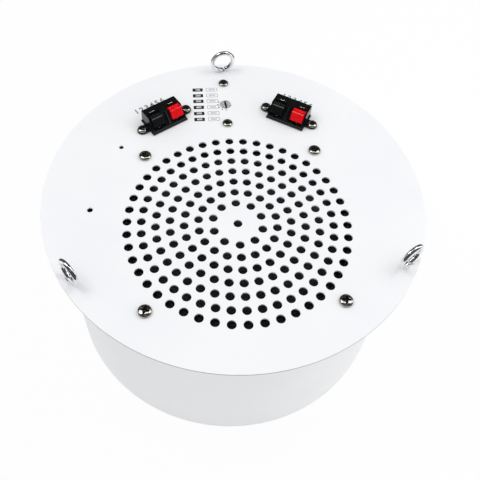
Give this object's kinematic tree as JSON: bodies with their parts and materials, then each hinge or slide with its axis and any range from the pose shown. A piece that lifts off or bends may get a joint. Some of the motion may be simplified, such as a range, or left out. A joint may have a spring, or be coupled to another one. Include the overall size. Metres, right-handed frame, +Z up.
{
  "type": "ceiling loudspeaker",
  "caption": "Round up-facing ceiling loudspeaker: perforated plate on a steel can, push terminals, tap selector, hung by eyebolts.",
  "frame": {"origin": "centre of the can's base, on the surface it stands on", "axes": "+Z up through the can and the front plate, +Y towards the rear eyebolt and the terminals, +X to the right seen from the front"},
  "size_m": [0.2921, 0.292, 0.1653],
  "materials": {
    "white_enamel": "satin baked enamel",
    "bright_plate": "bright plated",
    "screw_nickel": "nickel plated",
    "frame_paint": "dip-painted pressed steel",
    "gasket_foam": "closed-cell foam",
    "motor_steel": "zinc-plated mild steel",
    "ferrite": "ground ferrite",
    "cone_paper": "pressed pulp",
    "pleated_cloth": "doped cloth",
    "spider_cloth": "resin-set cotton",
    "former_paper": "kraft paper tube",
    "copper_wire": "enamelled copper wire",
    "phenolic": "phenolic board",
    "tinned_brass": "tinned",
    "lamination_steel": "varnished laminations",
    "bobbin_nylon": "moulded nylon",
    "bracket_zinc": "zinc plated",
    "switch_resin": "moulded resin",
    "black_abs": "moulded",
    "red_abs": "moulded"
  },
  "bodies": {
    "speaker": {"back_can": "white_enamel", "front_plate": "white_enamel", "eyebolt_rear": "bright_plate", "eyebolt_left": "bright_plate", "eyebolt_right": "bright_plate", "eyebolt_nuts": "bright_plate", "driver_screws": "screw_nickel", "driver_nuts": "screw_nickel", "transformer_screws": "screw_nickel", "transformer_nuts": "screw_nickel", "terminal_screws": "screw_nickel", "terminal_nuts": "screw_nickel", "driver_frame": "frame_paint", "driver_gasket": "gasket_foam", "motor_top_plate": "motor_steel", "pole_piece": "motor_steel", "ring_magnet": "ferrite", "surround": "pleated_cloth", "spider": "spider_cloth", "transformer_winding": "copper_wire", "tag_board": "phenolic", "driver_tags": "tinned_brass", "switch_tags": "tinned_brass", "contact_left_black": "tinned_brass", "contact_left_red": "tinned_brass", "contact_right_black": "tinned_brass", "contact_right_red": "tinned_brass", "transformer_core": "lamination_steel", "transformer_bobbin": "bobbin_nylon", "transformer_bracket": "bracket_zinc", "switch_bridge": "bracket_zinc", "switch_nut": "bracket_zinc", "tap_switch": "switch_resin", "terminal_left": "black_abs", "terminal_right": "black_abs"},
    "cone_unit": {"cone": "cone_paper", "dust_cap": "cone_paper", "coil_former": "former_paper", "voice_coil": "copper_wire"},
    "tap_rotor": {"tap_shaft": "bracket_zinc"},
    "left_black_lever": {"lever_left_black": "black_abs"},
    "left_red_lever": {"lever_left_red": "red_abs"},
    "right_black_lever": {"lever_right_black": "black_abs"},
    "right_red_lever": {"lever_right_red": "red_abs"}
  },
  "joints": [
    {"name": "cone_travel", "type": "slide", "parent": "speaker", "child": "cone_unit", "axis": [0, 0, 1], "range_m": [-0.002, 0.002], "stiffness_N_per_m": 2500, "deforming": ["surround", "spider"]},
    {"name": "tap_turn", "type": "hinge", "parent": "speaker", "child": "tap_rotor", "pos_m": [0, 0.0948, 0.1434], "axis": [0, 0, 1], "range_deg": [-127, 23]},
    {"name": "left_black_press", "type": "hinge", "parent": "speaker", "child": "left_black_lever", "pos_m": [-0.06049, 0.07351, 0.1538], "axis": [0.8526, 0.5225, 0], "range_deg": [0, 10], "stiffness_Nm_per_rad": 0.1, "springref_deg": -11.46},
    {"name": "left_red_press", "type": "hinge", "parent": "speaker", "child": "left_red_lever", "pos_m": [-0.04514, 0.08291, 0.1538], "axis": [0.8526, 0.5225, 0], "range_deg": [0, 10], "stiffness_Nm_per_rad": 0.1, "springref_deg": -11.46},
    {"name": "right_black_press", "type": "hinge", "parent": "speaker", "child": "right_black_lever", "pos_m": [0.04514, 0.08291, 0.1538], "axis": [0.8526, -0.5225, 0], "range_deg": [0, 10], "stiffness_Nm_per_rad": 0.1, "springref_deg": -11.46},
    {"name": "right_red_press", "type": "hinge", "parent": "speaker", "child": "right_red_lever", "pos_m": [0.06049, 0.07351, 0.1538], "axis": [0.8526, -0.5225, 0], "range_deg": [0, 10], "stiffness_Nm_per_rad": 0.1, "springref_deg": -11.46}
  ]
}
